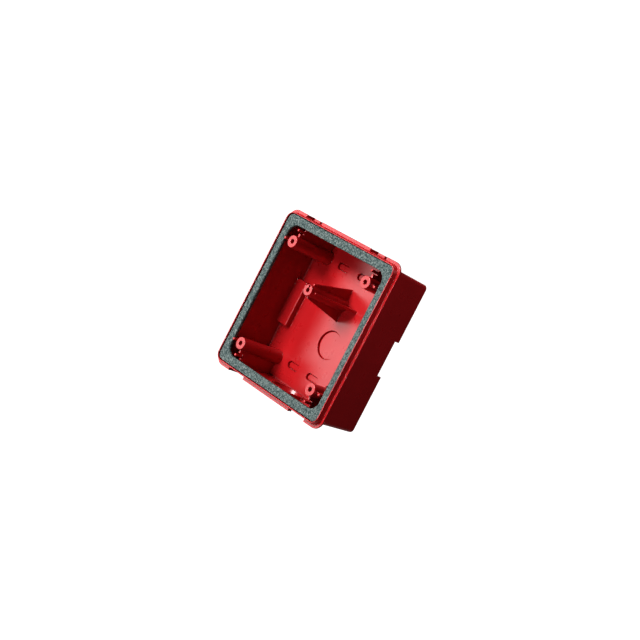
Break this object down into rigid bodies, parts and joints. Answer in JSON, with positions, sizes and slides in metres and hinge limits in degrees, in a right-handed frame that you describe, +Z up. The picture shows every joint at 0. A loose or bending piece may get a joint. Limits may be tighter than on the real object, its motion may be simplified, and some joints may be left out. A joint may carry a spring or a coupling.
{
  "type": "surface back box for a horn strobe",
  "caption": "Square red plastic surface-mount back box with screw posts, knock-outs, a bottom conduit hole and a foam gasket in its rim",
  "frame": {"origin": "The middle of the flat back face, which lies against the wall", "axes": "+Y points into the wall, so the open front looks along -Y; +Z is up, towards the slot-shaped knock-outs away from the conduit hole; +X is to the right of a person facing the open front"},
  "size_m": [0.1274, 0.0438, 0.1302],
  "materials": {
    "red_plastic": "satin moulded red",
    "knockout_plastic": "satin moulded red",
    "gasket_foam": "matt speckled grey closed-cell foam"
  },
  "bodies": {
    "root": {"back_box": "red_plastic", "foam_gasket": "gasket_foam", "round_knockout": "knockout_plastic", "slot_knockout_upper_left": "knockout_plastic", "slot_knockout_upper_middle": "knockout_plastic", "slot_knockout_upper_right": "knockout_plastic", "slot_knockout_lower_left": "knockout_plastic", "slot_knockout_lower_middle": "knockout_plastic", "slot_knockout_lower_right": "knockout_plastic"}
  },
  "joints": []
}
